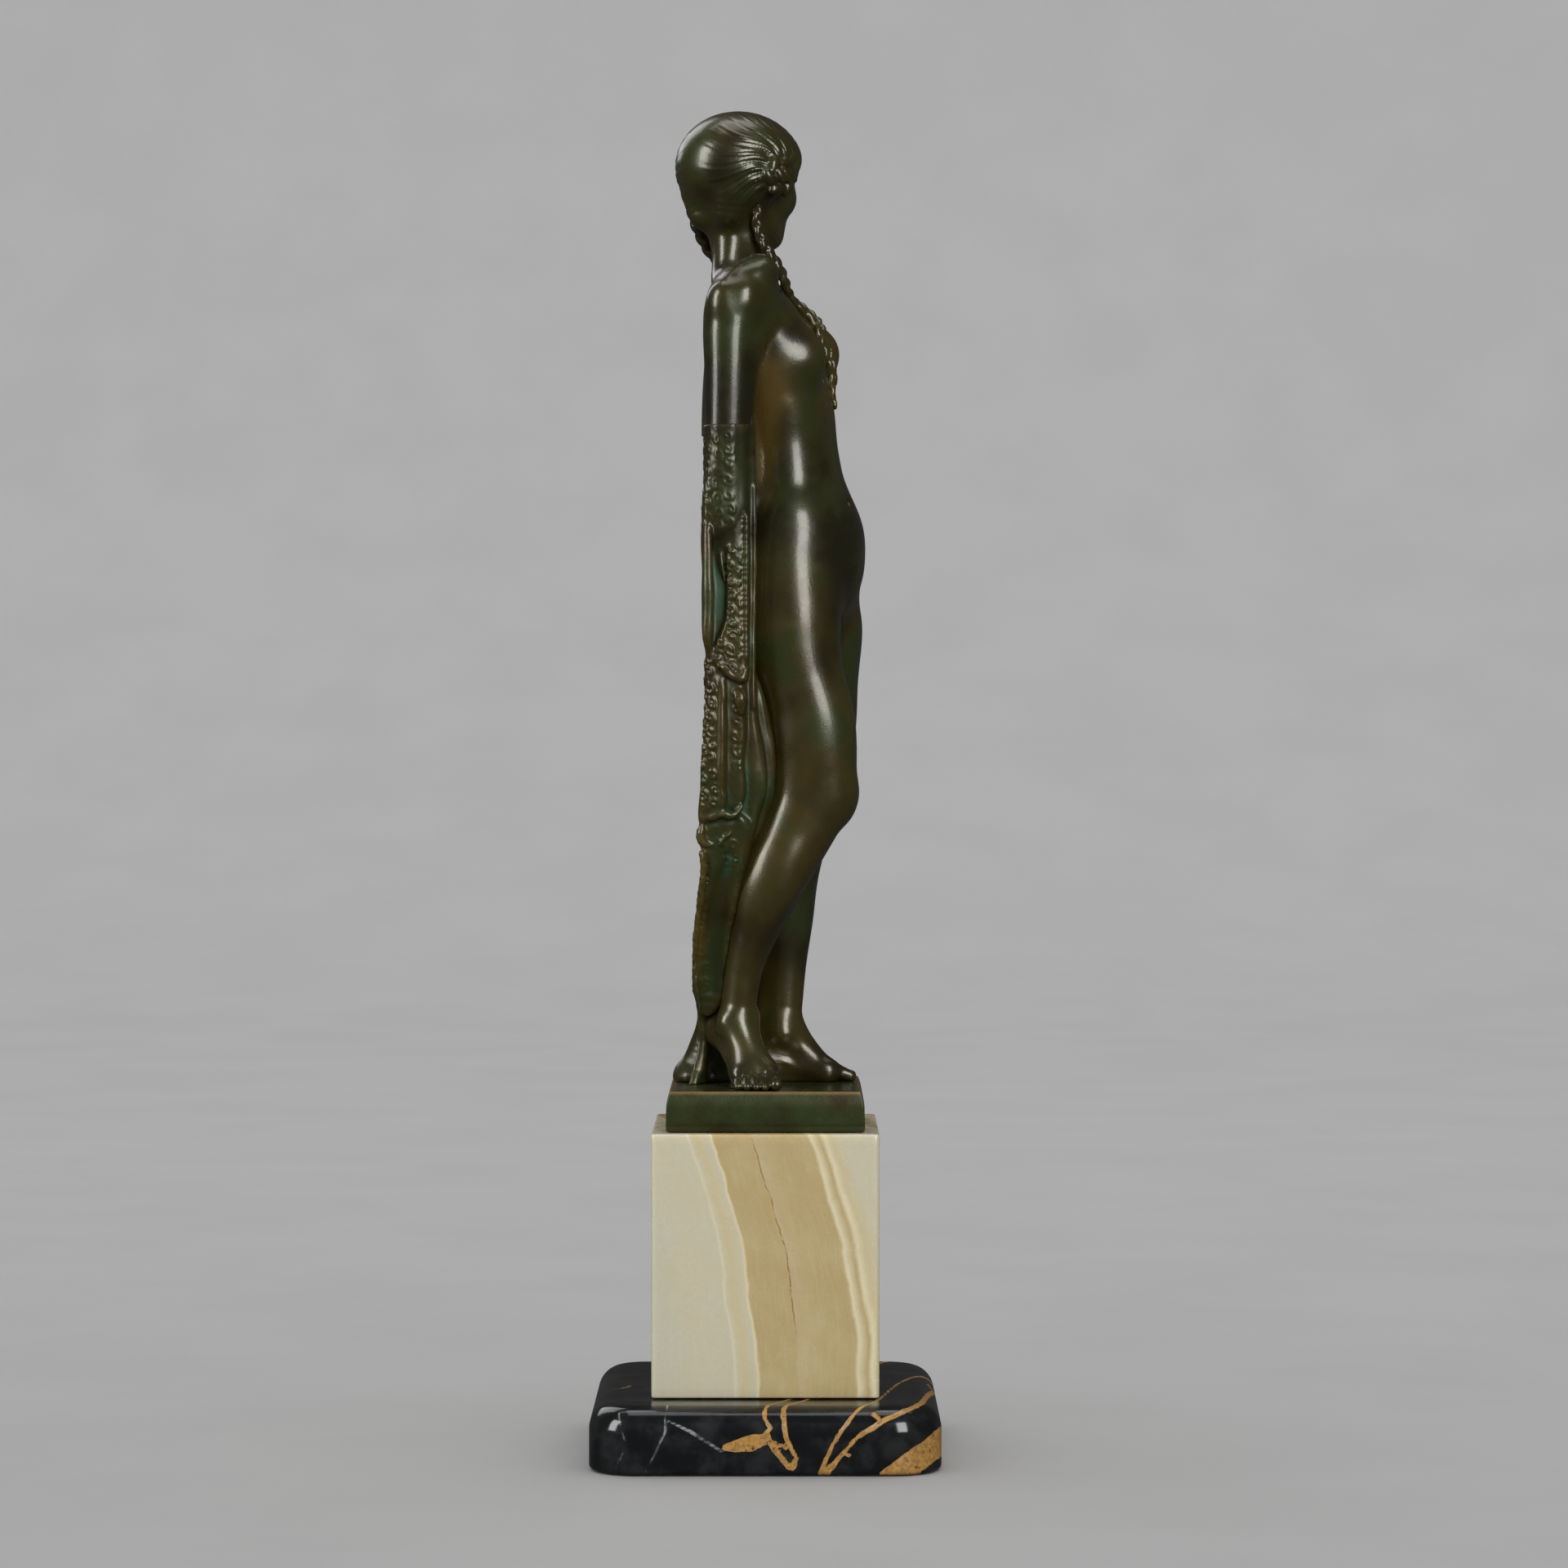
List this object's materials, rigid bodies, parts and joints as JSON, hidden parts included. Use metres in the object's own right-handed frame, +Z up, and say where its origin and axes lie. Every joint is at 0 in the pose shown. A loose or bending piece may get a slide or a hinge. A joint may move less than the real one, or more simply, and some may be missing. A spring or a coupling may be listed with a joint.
{
  "type": "bronze statuette",
  "caption": "Patinated bronze figure of a standing woman holding a shawl behind her, on a bronze plinth, an onyx block and a marble base.",
  "frame": {"origin": "middle of the felt's underside, on the tie rod's axis, where the statuette stands on the table", "axes": "+Z up, +X the way the figure's hips and the far foot face, +Y to the figure's left, square to the base's sides"},
  "size_m": [0.094, 0.094, 0.3653],
  "materials": {
    "bronze": "dark olive brown patina, waxed",
    "marble": "polished black marble with ochre and grey veins",
    "onyx": "polished cream onyx with tan bands",
    "felt": "black felt",
    "steel": "plain steel"
  },
  "bodies": {
    "root": {"marble_base": "marble", "onyx_block": "onyx", "bronze_plinth": "bronze", "body_casting": "bronze", "head_casting": "bronze", "right_arm_casting": "bronze", "left_arm_casting": "bronze", "shawl_casting": "bronze", "right_braid": "bronze", "left_braid": "bronze", "tie_rod": "steel", "rod_nut": "steel", "rod_washer": "steel", "felt_pad": "felt", "right_foot_screw": "steel", "left_foot_screw": "steel", "shawl_screw": "steel", "right_shoulder_pin": "steel", "left_shoulder_pin": "steel", "right_elbow_pin": "steel", "left_elbow_pin": "steel", "shawl_pin_upper": "steel", "shawl_pin_lower": "steel"}
  },
  "joints": []
}
